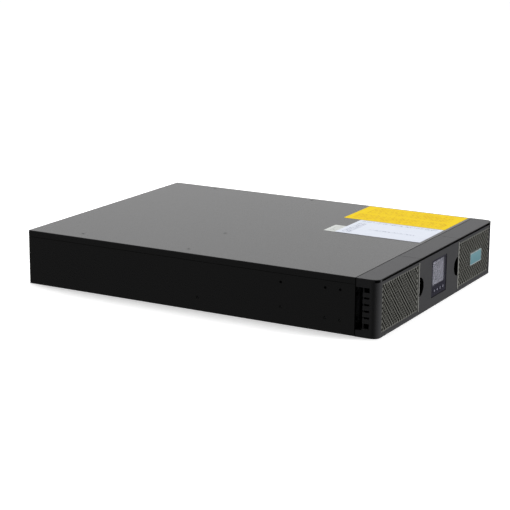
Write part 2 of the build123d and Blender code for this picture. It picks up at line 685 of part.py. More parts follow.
with BuildPart() as display_back:
    with BuildSketch(at_y(MODULE_BACK)):
        with Locations((0, DISPLAY_Z)):
            Rectangle(*[size - 2 * SIDE_WALL - 0.2 for size in DISPLAY])
    extrude(amount=COVER_THICK)
    with BuildSketch(at_y(MODULE_BACK - COVER_THICK)):
        with Locations((0, DISPLAY_Z)):
            with GridLocations(*BOSS_PITCH, 2, 2):
                Circle(2.6)
                Circle(1.2, mode=Mode.SUBTRACT)
    extrude(amount=MODULE_BACK - COVER_THICK - BOARD_FACE - BOARD)
display_back.part.label = "display_back"
export_step(display_back.part, "parts/display_back.step")

# Each cap has a flange behind the face and a stem over its switch.
SWITCH_BODY = 1.4
SWITCH_DOME = 0.8
SWITCH_FACE = BOARD_FACE - SWITCH_BODY - SWITCH_DOME
FLANGE_FACE = MODULE_FACE + FACE_WALL + 0.3

with BuildPart() as display_switches:
    for x in BUTTON_X.values():
        with BuildSketch(at_y(BOARD_FACE)):
            with Locations((x, BUTTON_Z)):
                Rectangle(5, 5)
        extrude(amount=SWITCH_BODY)
        with BuildSketch(at_y(BOARD_FACE - SWITCH_BODY)):
            with Locations((x, BUTTON_Z)):
                Circle(1.4)
        extrude(amount=SWITCH_DOME)
display_switches.part.label = "display_switches"
export_step(display_switches.part, "parts/display_switches.step")

for name, x in BUTTON_X.items():
    with BuildPart() as button:
        with BuildSketch(at_y(MODULE_FACE - BUTTON_PROUD)):
            with Locations((x, BUTTON_Z)):
                RectangleRounded(*BUTTON, 0.8)
        extrude(amount=MODULE_FACE - BUTTON_PROUD - FLANGE_FACE)
        fillet(button.faces().sort_by(Axis.Y)[0].edges(), 0.3)
        with BuildSketch(at_y(FLANGE_FACE)):
            with Locations((x, BUTTON_Z)):
                Rectangle(BUTTON[0] + 2.0, BUTTON[1] + 2.0)
        extrude(amount=-1.0)
        with BuildSketch(at_y(FLANGE_FACE + 1.0)):
            with Locations((x, BUTTON_Z)):
                Circle(1.2)
        extrude(amount=FLANGE_FACE + 1.0 - SWITCH_FACE + BUTTON_TRAVEL + 0.3)
    button.part.label = name
    export_step(button.part, f"parts/{name}.step")

# ---------------------------------------------------------------- rear panel
# Seen from the front: sockets and controls on the left behind the batteries, two fans
# on the right behind the electronics.
FAN_SIZE = 80.0
FAN_DEPTH = 25.0
FAN_BORE = 37.5
FAN_HOLES = 71.5
FAN_Z = SHEET + 0.6 + FAN_SIZE / 2
FAN_X = (84.4, 164.6)
OUTLET_FLANGE = (32.0, 26.0)
OUTLET_BODY = (29.6, 23.4)
OUTLET_X = [-188.0 + 33.0 * column for column in range(4)]
OUTLET_Z = (24.0, 56.0)
LARGE_X, LARGE_Z = 6.0, 22.0
LARGE_FLANGE = (38.0, 31.0)
LARGE_BODY = (34.8, 27.4)
INLET_X, INLET_Z = -46.0, 22.0
INLET_FLANGE = (52.0, 31.0)
INLET_BODY = (35.0, 27.0)
INLET_SCREW = 21.5
BREAKER_X = 36.0
BREAKER_Z = (14.0, 34.0)
COLLAR_R = 6.0
SLOT_X, SLOT_Z = -37.0, 61.0
SLOT_COVER = (70.0, 32.0)
THUMB_X = 30.0
USB_X, USB_Z = 13.0, 68.0
USB_SHELL = (12.0, 10.8)
EPO_X, EPO_Z = 13.0, 51.0
EPO_SIZE = (15.0, 9.0)
STUD_X, STUD_Z = 36.0, 60.0
PORT_FIT = 0.2
PANEL_FACE = REAR                          # outer face of the rear panel

with BuildPart() as rear_panel:
    with BuildSketch(at_y(PANEL_FACE)):
        with Locations((0, (SHEET + FLANGE_LOW) / 2)):
            Rectangle(2 * INNER_HALF, FLANGE_LOW - SHEET - 0.2)
        with Locations(*[(x, FAN_Z) for x in FAN_X]):
            Circle(FAN_BORE - 0.5, mode=Mode.SUBTRACT)
        for x in FAN_X:
            with Locations((x, FAN_Z)):
                with GridLocations(FAN_HOLES, FAN_HOLES, 2, 2):
                    Circle(SCREW_R + 0.2, mode=Mode.SUBTRACT)
        for x in OUTLET_X:
            with Locations(*[(x, z) for z in OUTLET_Z]):
                Rectangle(OUTLET_BODY[0] + PORT_FIT, OUTLET_BODY[1] + PORT_FIT, mode=Mode.SUBTRACT)
        with Locations((LARGE_X, LARGE_Z)):
            Rectangle(LARGE_BODY[0] + PORT_FIT, LARGE_BODY[1] + PORT_FIT, mode=Mode.SUBTRACT)
        with Locations((INLET_X, INLET_Z)):
            Rectangle(INLET_BODY[0] + PORT_FIT, INLET_BODY[1] + PORT_FIT, mode=Mode.SUBTRACT)
        with Locations((INLET_X - INLET_SCREW, INLET_Z), (INLET_X + INLET_SCREW, INLET_Z)):
            Circle(SCREW_R + 0.2, mode=Mode.SUBTRACT)
        with Locations(*[(BREAKER_X, z) for z in BREAKER_Z]):
            Circle(COLLAR_R + PORT_FIT, mode=Mode.SUBTRACT)
        with Locations((SLOT_X, SLOT_Z)):
            Rectangle(46, 26, mode=Mode.SUBTRACT)
        with Locations((SLOT_X - THUMB_X, SLOT_Z), (SLOT_X + THUMB_X, SLOT_Z)):
            Circle(SCREW_R + 0.1, mode=Mode.SUBTRACT)
        with Locations((USB_X, USB_Z)):
            Rectangle(USB_SHELL[0] + PORT_FIT, USB_SHELL[1] + PORT_FIT, mode=Mode.SUBTRACT)
        with Locations((EPO_X, EPO_Z)):
            Rectangle(EPO_SIZE[0] + PORT_FIT, EPO_SIZE[1] + PORT_FIT, mode=Mode.SUBTRACT)
        with Locations((STUD_X, STUD_Z)):
            Circle(2.1, mode=Mode.SUBTRACT)
        with Locations(*[(s * CORNER_SCREW_X, z) for s in (-1, 1) for z in TAB_Z]):
            Circle(SCREW_R + 0.1, mode=Mode.SUBTRACT)
    extrude(amount=SHEET)
rear_panel.part.label = "rear_panel"
export_step(rear_panel.part, "parts/rear_panel.step")

# Socket outlets: a flanged block with a groove around a core that has three slots.
FLANGE_PROUD = 1.6
OUTLET_CORE = (24.0, 16.4)
OUTLET_GROOVE = (28.2, 20.6)
OUTLET_CUT = 5.0
OUTLET_DEPTH = 24.0
OUTLET_SLOT = (2.4, 6.6)
SLOT_DEPTH = 17.0


def socket_outline(width, height, cut):
    """A rectangle about the origin whose two upper corners are cut off."""
    with BuildSketch() as outline:
        Rectangle(width, height)
        chamfer(outline.vertices().group_by(Axis.Y)[-1], cut)
    return outline.sketch


with BuildPart() as outlets:
    for x in OUTLET_X:
        for z in OUTLET_Z:
            with BuildSketch(at_y(PANEL_FACE + FLANGE_PROUD)):
                with Locations((x, z)):
                    Rectangle(*OUTLET_FLANGE)
            extrude(amount=FLANGE_PROUD)
            with BuildSketch(at_y(PANEL_FACE)):
                with Locations((x, z)):
                    Rectangle(*OUTLET_BODY)
            extrude(amount=OUTLET_DEPTH)
            with BuildSketch(at_y(PANEL_FACE + FLANGE_PROUD)):
                with Locations((x, z)):
                    add(socket_outline(*OUTLET_GROOVE, OUTLET_CUT))
                    add(socket_outline(*OUTLET_CORE, OUTLET_CUT), mode=Mode.SUBTRACT)
                with Locations((x - 7, z - 2), (x + 7, z - 2), (x, z + 2)):
                    Rectangle(*OUTLET_SLOT)
            extrude(amount=SLOT_DEPTH, mode=Mode.SUBTRACT)
outlets.part.label = "outlets"
export_step(outlets.part, "parts/outlets.step")

LARGE_CORE = (29.0, 21.0)
LARGE_GROOVE = (33.4, 25.4)
LARGE_DEPTH = 28.0
LARGE_SLOT = (8.6, 2.6)

with BuildPart() as large_outlet:
    with BuildSketch(at_y(PANEL_FACE + FLANGE_PROUD)):
        with Locations((LARGE_X, LARGE_Z)):
            Rectangle(*LARGE_FLANGE)
    extrude(amount=FLANGE_PROUD)
    with BuildSketch(at_y(PANEL_FACE)):
        with Locations((LARGE_X, LARGE_Z)):
            Rectangle(*LARGE_BODY)
    extrude(amount=LARGE_DEPTH)
    with BuildSketch(at_y(PANEL_FACE + FLANGE_PROUD)):
        with Locations((LARGE_X, LARGE_Z)):
            Rectangle(*LARGE_GROOVE)
            Rectangle(*LARGE_CORE, mode=Mode.SUBTRACT)
        with Locations((LARGE_X - 6.5, LARGE_Z - 4), (LARGE_X + 6.5, LARGE_Z - 4), (LARGE_X, LARGE_Z + 4)):
            Rectangle(*LARGE_SLOT)
    extrude(amount=SLOT_DEPTH, mode=Mode.SUBTRACT)
large_outlet.part.label = "large_outlet"
export_step(large_outlet.part, "parts/large_outlet.step")

INLET_CAVITY = (30.6, 22.6)
INLET_DEPTH = 22.0
INLET_PROUD = 2.4
PIN = (8.0, 2.0)
PIN_PLACES = [(-6.5, -4.0), (6.5, -4.0), (0.0, 4.0)]

with BuildPart() as power_inlet:
    with BuildSketch(at_y(PANEL_FACE + INLET_PROUD)):
        with Locations((INLET_X, INLET_Z)):
            RectangleRounded(*INLET_FLANGE, 3)
        with Locations((INLET_X - INLET_SCREW, INLET_Z), (INLET_X + INLET_SCREW, INLET_Z)):
            Circle(SCREW_R, mode=Mode.SUBTRACT)
    extrude(amount=INLET_PROUD)
    with BuildSketch(at_y(PANEL_FACE)):
        with Locations((INLET_X, INLET_Z)):
            Rectangle(*INLET_BODY)
    extrude(amount=INLET_DEPTH + INLET_PROUD)
    with BuildSketch(at_y(PANEL_FACE + INLET_PROUD)):
        with Locations((INLET_X, INLET_Z)):
            Rectangle(*INLET_CAVITY)
    extrude(amount=INLET_DEPTH, mode=Mode.SUBTRACT)
    with BuildSketch(at_y(PANEL_FACE)):
        with Locations(*[(INLET_X + x, INLET_Z + z) for x, z in PIN_PLACES]):
            Rectangle(*PIN)
    extrude(amount=INLET_DEPTH + 8, mode=Mode.SUBTRACT)
power_inlet.part.label = "power_inlet"
export_step(power_inlet.part, "parts/power_inlet.step")

with BuildPart() as inlet_pins:
    with BuildSketch(at_y(PANEL_FACE - 1.6)):
        with Locations(*[(INLET_X + x, INLET_Z + z) for x, z in PIN_PLACES]):
            Rectangle(*PIN)
    extrude(amount=INLET_DEPTH + 6)
inlet_pins.part.label = "inlet_pins"
export_step(inlet_pins.part, "parts/inlet_pins.step")

# Two circuit breakers: body and threaded collar in one, with a push-to-reset button
# that stands out further when the breaker has tripped.
RESET_R = 3.6
RESET_OUT = 2.4
RESET_TRAVEL = 4.0
COLLAR_OUT = 5.6
NUT = 2.4
BREAKER_BODY = (16.0, 28.0, 16.0)

with BuildPart() as breakers:
    for z in BREAKER_Z:
        with Locations((BREAKER_X, REAR - SHEET, z)):
            Box(*BREAKER_BODY, align=(Align.CENTER, Align.MAX, Align.CENTER))
        with BuildSketch(at_y(PANEL_FACE + COLLAR_OUT)):
            with Locations((BREAKER_X, z)):
                Circle(COLLAR_R)
        extrude(amount=COLLAR_OUT + SHEET)
        with BuildSketch(at_y(PANEL_FACE + NUT)):
            with Locations((BREAKER_X, z)):
                RegularPolygon(8.6, 6)
        extrude(amount=NUT)
        with BuildSketch(at_y(PANEL_FACE + COLLAR_OUT)):
            with Locations((BREAKER_X, z)):
                Circle(RESET_R + 0.35)
        extrude(amount=16, mode=Mode.SUBTRACT)
breakers.part.label = "breakers"
export_step(breakers.part, "parts/breakers.step")

for number, z in enumerate(BREAKER_Z, start=1):
    with BuildPart() as reset:
        with BuildSketch(at_y(PANEL_FACE + COLLAR_OUT + RESET_OUT)):
            with Locations((BREAKER_X, z)):
                Circle(RESET_R)
        extrude(amount=RESET_OUT + 12)
        fillet(reset.faces().sort_by(Axis.Y)[-1].edges(), 0.6)
    reset.part.label = f"reset_button_{number}"
    export_step(reset.part, f"parts/reset_button_{number}.step")

with BuildPart() as option_slot_cover:
    with BuildSketch(at_y(PANEL_FACE + SHEET)):
        with Locations((SLOT_X, SLOT_Z)):
            RectangleRounded(*SLOT_COVER, 1.5)
        with Locations((SLOT_X - THUMB_X, SLOT_Z), (SLOT_X + THUMB_X, SLOT_Z)):
            Circle(SCREW_R + 0.1, mode=Mode.SUBTRACT)
    extrude(amount=SHEET)
option_slot_cover.part.label = "option_slot_cover"
export_step(option_slot_cover.part, "parts/option_slot_cover.step")

with BuildPart() as thumbscrews:
    for x in (SLOT_X - THUMB_X, SLOT_X + THUMB_X):
        with BuildSketch(at_y(REACH)):
            with Locations((x, SLOT_Z)):
                Circle(4.6)
                with PolarLocations(4.6, 24):
                    Circle(0.35, mode=Mode.SUBTRACT)
        extrude(amount=REAR_REACH - SHEET)
        with BuildSketch(at_y(REACH)):
            with Locations((x, SLOT_Z)):
                Rectangle(7, 1.2)
        extrude(amount=1.4, mode=Mode.SUBTRACT)
        with BuildSketch(at_y(PANEL_FACE + SHEET)):
            with Locations((x, SLOT_Z)):
                Circle(SCREW_R)
        extrude(amount=8)
thumbscrews.part.label = "thumbscrews"
export_step(thumbscrews.part, "parts/thumbscrews.step")

with BuildPart() as usb_port:
    with BuildSketch(at_y(PANEL_FACE + 1)):
        with Locations((USB_X, USB_Z)):
            Rectangle(*USB_SHELL)
            Rectangle(8.5, 7.8, mode=Mode.SUBTRACT)
            Rectangle(5.6, 3.2)
    extrude(amount=12)
    with BuildSketch(at_y(PANEL_FACE - 11)):
        with Locations((USB_X, USB_Z)):
            Rectangle(*USB_SHELL)
    extrude(amount=4)
usb_port.part.label = "usb_port"
export_step(usb_port.part, "parts/usb_port.step")

with BuildPart() as shutdown_terminal:
    with BuildSketch(at_y(PANEL_FACE + 3)):
        with Locations((EPO_X, EPO_Z)):
            Rectangle(*EPO_SIZE)
            with GridLocations(5.08, 1, 2, 1):
                Rectangle(3.2, 3.4, mode=Mode.SUBTRACT)
    extrude(amount=8)
    with BuildSketch(at_y(PANEL_FACE - 5)):
        with Locations((EPO_X, EPO_Z)):
            Rectangle(*EPO_SIZE)
    extrude(amount=9)
shutdown_terminal.part.label = "shutdown_terminal"
export_step(shutdown_terminal.part, "parts/shutdown_terminal.step")

with BuildPart() as ground_stud:
    with BuildSketch(at_y(PANEL_FACE + 7)):
        with Locations((STUD_X, STUD_Z)):
            Circle(2.0)
    extrude(amount=7 + SHEET + 4)
    for face_y in (PANEL_FACE + 3.2, PANEL_FACE - SHEET):
        with BuildSketch(at_y(face_y)):
            with Locations((STUD_X, STUD_Z)):
                RegularPolygon(4.2, 6)
        extrude(amount=3.2)
ground_stud.part.label = "ground_stud"
export_step(ground_stud.part, "parts/ground_stud.step")

# ---------------------------------------------------------------- fans
FAN_FRONT = REAR - SHEET - FAN_DEPTH
HUB_R = 18.0
HUB_DEPTH = 17.0
HUB_WALL = 2.0
SHAFT_LENGTH = 19.0
BLADE_TIP = 35.4
BLADES = 7
SHAFT_R = 1.5
BEARING_FIT = 0.04
BEARING_R = 4.5

with BuildPart() as fan_frames:
    for x in FAN_X:
        with BuildSketch(at_y(REAR - SHEET)):
            with Locations((x, FAN_Z)):
                RectangleRounded(FAN_SIZE, FAN_SIZE, 4)
                Circle(FAN_BORE, mode=Mode.SUBTRACT)
                with GridLocations(FAN_HOLES, FAN_HOLES, 2, 2):
                    Circle(SCREW_R, mode=Mode.SUBTRACT)
        extrude(amount=FAN_DEPTH)
        with BuildSketch(at_y(REAR - SHEET - 0.4)):
            with Locations((x, FAN_Z)):
                Circle(HUB_R)
                for turn in (45, 135):
                    Rectangle(2 * FAN_BORE + 2, 4.5, rotation=turn)
                Circle(SHAFT_R + BEARING_FIT, mode=Mode.SUBTRACT)
        extrude(amount=2.6)
        with BuildSketch(at_y(REAR - SHEET - 3.0)):
            with Locations((x, FAN_Z)):
                Circle(BEARING_R)
                Circle(SHAFT_R + BEARING_FIT, mode=Mode.SUBTRACT)
        extrude(amount=14)
fan_frames.part.label = "fan_frames"
export_step(fan_frames.part, "parts/fan_frames.step")


def fan_blade():
    """One blade along X, twisted from root to tip, about the fan's own axis Z."""
    with BuildPart() as blade:
        with BuildSketch(Plane.YZ.offset(HUB_R - 0.6)):
            Rectangle(17, 1.5, rotation=52)
        with BuildSketch(Plane.YZ.offset(BLADE_TIP)):
            Rectangle(23, 1.1, rotation=32)
        loft()
    return blade.part


blade = fan_blade()
for number, x in enumerate(FAN_X, start=1):
    hub_plane = Plane(origin=(x, FAN_FRONT + 2.0, FAN_Z), x_dir=(1, 0, 0), z_dir=(0, 1, 0))
    with BuildPart(hub_plane) as rotor:
        Cylinder(HUB_R, HUB_DEPTH, align=UPWARD)
        with Locations((0, 0, HUB_DEPTH / 2 + 0.5)):
            with PolarLocations(0, BLADES):
                add(blade)
        with Locations((0, 0, HUB_WALL)):
            Cylinder(HUB_R - HUB_WALL, HUB_DEPTH, align=UPWARD, mode=Mode.SUBTRACT)
        Cylinder(SHAFT_R, SHAFT_LENGTH, align=UPWARD)
    rotor.part.label = f"fan_rotor_{number}"
    export_step(rotor.part, f"parts/fan_rotor_{number}.step")

# Wire guards: four rings on two crossed spokes that end in screw eyes.
WIRE_R = 1.0
GUARD_Y = REAR + WIRE_R
GUARD_RINGS = [12.0, 20.0, 28.0, 36.0]

with BuildPart() as fan_guards:
    for x in FAN_X:
        guard_plane = Plane(origin=(x, GUARD_Y, FAN_Z), x_dir=(1, 0, 0), z_dir=(0, 1, 0))
        with Locations(guard_plane):
            for ring in GUARD_RINGS:
                Torus(ring, WIRE_R)
            for turn in (45, 135):
                Box(FAN_HOLES * 2 ** 0.5, 2.4, 2 * WIRE_R, rotation=(0, 0, turn))
            with GridLocations(FAN_HOLES, FAN_HOLES, 2, 2):
                Cylinder(3.8, 2 * WIRE_R)
                Cylinder(SCREW_R, 2 * WIRE_R, mode=Mode.SUBTRACT)
fan_guards.part.label = "fan_guards"
export_step(fan_guards.part, "parts/fan_guards.step")

# Pan-head screws of the rear: corners, fans and inlet, each at its own seat.
REAR_SCREWS = [(s * CORNER_SCREW_X, z, REAR) for s in (-1, 1) for z in TAB_Z]
REAR_SCREWS += [(INLET_X + s * INLET_SCREW, INLET_Z, REAR + INLET_PROUD) for s in (-1, 1)]
for fan_x in FAN_X:
    for dx in (-FAN_HOLES / 2, FAN_HOLES / 2):
        for dz in (-FAN_HOLES / 2, FAN_HOLES / 2):
            REAR_SCREWS.append((fan_x + dx, FAN_Z + dz, GUARD_Y + WIRE_R))

with BuildPart() as rear_screws:
    for x, z, seat in REAR_SCREWS:
        screw_plane = Plane(origin=(x, seat, z), x_dir=(1, 0, 0), z_dir=(0, 1, 0))
        with Locations(screw_plane):
            Cylinder(PAN_HEAD_R, PAN_HEAD, align=UPWARD)
            Cylinder(SCREW_R, 7.0, align=DOWNWARD)
            with Locations((0, 0, PAN_HEAD)):
                Box(CROSS, CROSS_SLOT, CROSS_SLOT, align=DOWNWARD, mode=Mode.SUBTRACT)
                Box(CROSS_SLOT, CROSS, CROSS_SLOT, align=DOWNWARD, mode=Mode.SUBTRACT)
rear_screws.part.label = "rear_screws"
export_step(rear_screws.part, "parts/rear_screws.step")

# ---------------------------------------------------------------- electronics
# Right of the battery bay: one power board on standoffs, with its heatsinks, storage
# capacitors, inductors and charger transformer, and an upright control board.
BOARD_LOW = (10.0, -235.0)
BOARD_HIGH = (212.0, 255.0)
BOARD_Z = 8.0
BOARD_TOP = BOARD_Z + BOARD
BOARD_CENTRE = tuple((a + b) / 2 for a, b in zip(BOARD_LOW, BOARD_HIGH))
STANDOFF_PITCH = (188.0, 158.0)
STANDOFF_HOLE = 1.8
SNAP = 3.0

with BuildPart() as power_board:
    with BuildSketch(Plane.XY.offset(BOARD_Z)):
        with Locations(BOARD_CENTRE):
            Rectangle(*[b - a for a, b in zip(BOARD_LOW, BOARD_HIGH)])
            with GridLocations(*STANDOFF_PITCH, 2, 4):
                Circle(STANDOFF_HOLE, mode=Mode.SUBTRACT)
    extrude(amount=BOARD)
power_board.part.label = "power_board"
export_step(power_board.part, "parts/power_board.step")

# Snap-in standoffs: a post under the board and a flared head above it.
with BuildPart() as board_standoffs:
    with Locations((*BOARD_CENTRE, SHEET)):
        with GridLocations(*STANDOFF_PITCH, 2, 4):
            Cylinder(2 * STANDOFF_HOLE, BOARD_Z - SHEET, align=UPWARD)
            Cylinder(STANDOFF_HOLE - 0.2, BOARD_TOP - SHEET + SNAP, align=UPWARD)
    with Locations((*BOARD_CENTRE, BOARD_TOP)):
        with GridLocations(*STANDOFF_PITCH, 2, 4):
            Cone(STANDOFF_HOLE + 0.4, 1.0, SNAP, align=UPWARD)
board_standoffs.part.label = "board_standoffs"
export_step(board_standoffs.part, "parts/board_standoffs.step")

SINK_Y = (-200.0, 8.0)
SINK_X = (52.0, 166.0)                    # face that the transistors sit on
SINK_BASE = 5.0
SINK_Z = (12.0, 78.0)
FIN = (22.0, 1.5)
FIN_PITCH = 8.0
FIN_COUNT = 8
TRANSISTOR = (4.8, 16.0, 21.0)
TRANSISTOR_PITCH = 32.0
TRANSISTOR_COUNT = 6
TRANSISTOR_FIRST = 16.0                   # from the heatsink's front end
TRANSISTOR_Z = 16.0

with BuildPart() as heatsinks:
    for face_x, side in zip(SINK_X, (-1, 1)):
        with BuildSketch(at_y(SINK_Y[1])):
            with Locations((face_x + side * SINK_BASE / 2, sum(SINK_Z) / 2)):
                Rectangle(SINK_BASE, SINK_Z[1] - SINK_Z[0])
            with Locations((face_x + side * (SINK_BASE + FIN[0] / 2 - 0.5), sum(SINK_Z) / 2)):
                with GridLocations(1, FIN_PITCH, 1, FIN_COUNT):
                    Rectangle(FIN[0] + 1, FIN[1])
        extrude(amount=SINK_Y[1] - SINK_Y[0])
heatsinks.part.label = "heatsinks"
export_step(heatsinks.part, "parts/heatsinks.step")

with BuildPart() as power_transistors:
    for face_x, side in zip(SINK_X, (1, -1)):
        for place in range(TRANSISTOR_COUNT):
            y = SINK_Y[0] + TRANSISTOR_FIRST + place * TRANSISTOR_PITCH
            low, high = sorted((face_x, face_x + side * TRANSISTOR[0]))
            block((low, y, TRANSISTOR_Z), (high, y + TRANSISTOR[1], TRANSISTOR_Z + TRANSISTOR[2]))
power_transistors.part.label = "power_transistors"
export_step(power_transistors.part, "parts/power_transistors.step")

CAPACITOR_R = 15.0
CAPACITOR_TALL = 46.0
CAPACITOR_BANK = (118.0, -160.0)
CAPACITOR_PITCH = (36.0, 34.0)

with BuildPart() as bus_capacitors:
    with BuildSketch(Plane.XY.offset(BOARD_TOP)):
        with Locations(CAPACITOR_BANK):
            with GridLocations(*CAPACITOR_PITCH, 2, 3):
                Circle(CAPACITOR_R)
    extrude(amount=CAPACITOR_TALL)
    fillet(bus_capacitors.faces().group_by(Axis.Z)[-1].edges(), 1.5)
bus_capacitors.part.label = "bus_capacitors"
export_step(bus_capacitors.part, "parts/bus_capacitors.step")

WOUND_X = 114.0
INDUCTOR_Y = (-74.0, -14.0)
INDUCTOR_R = 26.0
INDUCTOR_BORE = 10.0
INDUCTOR_TALL = 26.0

with BuildPart() as inductors:
    with BuildSketch(Plane.XY.offset(BOARD_TOP)):
        with Locations(*[(WOUND_X, y) for y in INDUCTOR_Y]):
            Circle(INDUCTOR_R)
            Circle(INDUCTOR_BORE, mode=Mode.SUBTRACT)
    extrude(amount=INDUCTOR_TALL)
    fillet(inductors.edges().filter_by(GeomType.CIRCLE), 5)
inductors.part.label = "inductors"
export_step(inductors.part, "parts/inductors.step")

CORE = (56.0, 18.0, 44.0)                 # across, deep, high
CORE_WINDOW = (13.0, 28.0)
CORE_LEG = 27.0                           # pitch of the two windows
WINDING = (39.0, 34.0, 27.0)
CORE_Y = 66.0

with BuildPart() as charger_transformer:
    with BuildSketch(at_y(CORE_Y + CORE[1] / 2)):
        with Locations((WOUND_X, BOARD_TOP + CORE[2] / 2)):
            Rectangle(CORE[0], CORE[2])
            with GridLocations(CORE_LEG, 1, 2, 1):
                Rectangle(*CORE_WINDOW, mode=Mode.SUBTRACT)
    extrude(amount=CORE[1])
    with Locations((WOUND_X, CORE_Y, BOARD_TOP + CORE[2] / 2)):
        Box(*WINDING)
    fillet(charger_transformer.edges().filter_by(Axis.Z).group_by(Axis.Y)[0], 4)
    fillet(charger_transformer.edges().filter_by(Axis.Z).group_by(Axis.Y)[-1], 4)
charger_transformer.part.label = "charger_transformer"
export_step(charger_transformer.part, "parts/charger_transformer.step")

CONTROL_X = 64.0
CONTROL_Y = (40.0, 200.0)
CONTROL_TOP = 74.0
CHIP_TALL = 2.2
CHIPS = ((70.0, 50.0, 14.0), (110.0, 42.0, 20.0), (150.0, 52.0, 10.0), (176.0, 36.0, 10.0))

with BuildPart() as control_board:
    block((CONTROL_X, CONTROL_Y[0], BOARD_TOP), (CONTROL_X + BOARD, CONTROL_Y[1], CONTROL_TOP))
    for y, z, size in CHIPS:
        block(
            (CONTROL_X + BOARD, y - size / 2, z - size / 2),
            (CONTROL_X + BOARD + CHIP_TALL, y + size / 2, z + size / 2),
        )
control_board.part.label = "control_board"
export_step(control_board.part, "parts/control_board.step")
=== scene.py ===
import json
import math

import bpy
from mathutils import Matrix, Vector


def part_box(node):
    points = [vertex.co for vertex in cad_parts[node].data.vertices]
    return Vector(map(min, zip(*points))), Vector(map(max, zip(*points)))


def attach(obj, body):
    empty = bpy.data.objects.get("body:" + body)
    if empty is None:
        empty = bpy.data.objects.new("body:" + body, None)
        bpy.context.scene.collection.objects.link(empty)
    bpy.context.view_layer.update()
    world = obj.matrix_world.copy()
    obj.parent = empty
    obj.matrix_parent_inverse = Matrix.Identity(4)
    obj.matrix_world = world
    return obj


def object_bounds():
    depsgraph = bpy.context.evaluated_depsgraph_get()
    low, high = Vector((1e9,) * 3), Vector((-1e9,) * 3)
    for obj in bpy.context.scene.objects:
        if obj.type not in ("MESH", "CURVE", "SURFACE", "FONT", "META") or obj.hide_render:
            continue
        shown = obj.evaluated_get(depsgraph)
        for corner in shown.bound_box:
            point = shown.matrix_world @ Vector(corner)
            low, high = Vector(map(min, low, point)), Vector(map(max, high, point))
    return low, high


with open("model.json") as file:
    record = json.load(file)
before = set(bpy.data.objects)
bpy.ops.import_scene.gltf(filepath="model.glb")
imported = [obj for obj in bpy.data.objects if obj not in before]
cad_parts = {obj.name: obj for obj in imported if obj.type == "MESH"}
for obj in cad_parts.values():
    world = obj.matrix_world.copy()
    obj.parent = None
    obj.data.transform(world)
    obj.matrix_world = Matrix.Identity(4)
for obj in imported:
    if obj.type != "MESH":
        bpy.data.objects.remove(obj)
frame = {"nodes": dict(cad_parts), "record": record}
cad_box = [list(corner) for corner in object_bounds()]

# Rack-mount uninterruptible power supply.  Metres; front is -Y, +Z is up.
MM = 0.001
FRONT = cad_box[0][1]
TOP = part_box("top_cover")[1][2]


GLOSS_SPREAD = 0.05             # how far roughness strays either way over the grain


# ---------------------------------------------------------------- helpers
def linear(hex_code):
    """An sRGB hex colour as linear RGBA."""
    channels = [int(hex_code[i:i + 2], 16) / 255 for i in (1, 3, 5)]
    bent = [c / 12.92 if c <= 0.04045 else ((c + 0.055) / 1.055) ** 2.4 for c in channels]
    return (*bent, 1.0)


def scale_for(size_mm):
    """Texture scale whose features are about size_mm across."""
    return 1.0 / (size_mm * MM)


def add_node(tree, kind, inputs=None, **settings):
    """One node with its settings, and its inputs set to values or linked to sockets."""
    node = tree.nodes.new(kind)
    for name, value in settings.items():
        setattr(node, name, value)
    for name, value in (inputs or {}).items():
        if isinstance(value, bpy.types.NodeSocket):
            tree.links.new(value, node.inputs[name])
        else:
            node.inputs[name].default_value = value
    return node


def new_material(name, **shader_values):
    """A node material: its tree, its Principled shader and its object coordinates."""
    material = bpy.data.materials.new(name)
    material.use_nodes = True
    tree = material.node_tree
    shader = tree.nodes["Principled BSDF"]
    for socket, value in shader_values.items():
        shader.inputs[socket.replace("_", " ")].default_value = value
    place = add_node(tree, "ShaderNodeTexCoord").outputs["Object"]
    return material, tree, shader, place


def between(tree, factor, first, second):
    """Colour that runs from first to second with factor."""
    mix = add_node(tree, "ShaderNodeMix", data_type="RGBA")
    tree.links.new(factor, mix.inputs["Factor"])
    for socket, value in (("A", first), ("B", second)):
        target = [s for s in mix.inputs if s.name == socket and s.type == "RGBA"][0]
        if isinstance(value, bpy.types.NodeSocket):
            tree.links.new(value, target)
        else:
            target.default_value = value
    return [s for s in mix.outputs if s.type == "RGBA"][0]


def grained(name, base, shade, rough, grain_mm, depth_mm, patch_mm, stretch=(1, 1, 1), **shader_values):
    """A surface with a fine grain: patchy colour, uneven gloss and a shallow bump."""
    material, tree, shader, place = new_material(name, **shader_values)
    patch = add_node(
        tree, "ShaderNodeTexNoise", {"Vector": place, "Scale": scale_for(patch_mm), "Detail": 3.0},
    )
    colour = between(tree, patch.outputs["Fac"], linear(base), linear(shade))
    tree.links.new(colour, shader.inputs["Base Color"])
    drawn = add_node(tree, "ShaderNodeMapping", {"Vector": place, "Scale": stretch})
    grain = add_node(
        tree, "ShaderNodeTexNoise",
        {"Vector": drawn.outputs["Vector"], "Scale": scale_for(grain_mm), "Detail": 2.0},
    )
    gloss = add_node(
        tree, "ShaderNodeMapRange",
        {"Value": grain.outputs["Fac"], "From Min": 0.3, "From Max": 0.7,
         "To Min": rough - GLOSS_SPREAD, "To Max": rough + GLOSS_SPREAD},
    )
    tree.links.new(gloss.outputs["Result"], shader.inputs["Roughness"])
    bump = add_node(
        tree, "ShaderNodeBump",
        {"Height": grain.outputs["Fac"], "Distance": depth_mm * MM, "Strength": 1.0},
    )
    tree.links.new(bump.outputs["Normal"], shader.inputs["Normal"])
    return material


# ---------------------------------------------------------------- materials
# Satin black polyester powder coat on steel: a faint orange peel that breaks up gloss.
powder_coat = grained("satin_powder_coat", "#111113", "#151516", 0.30, 0.9, 0.004, 90.0, IOR=1.5)

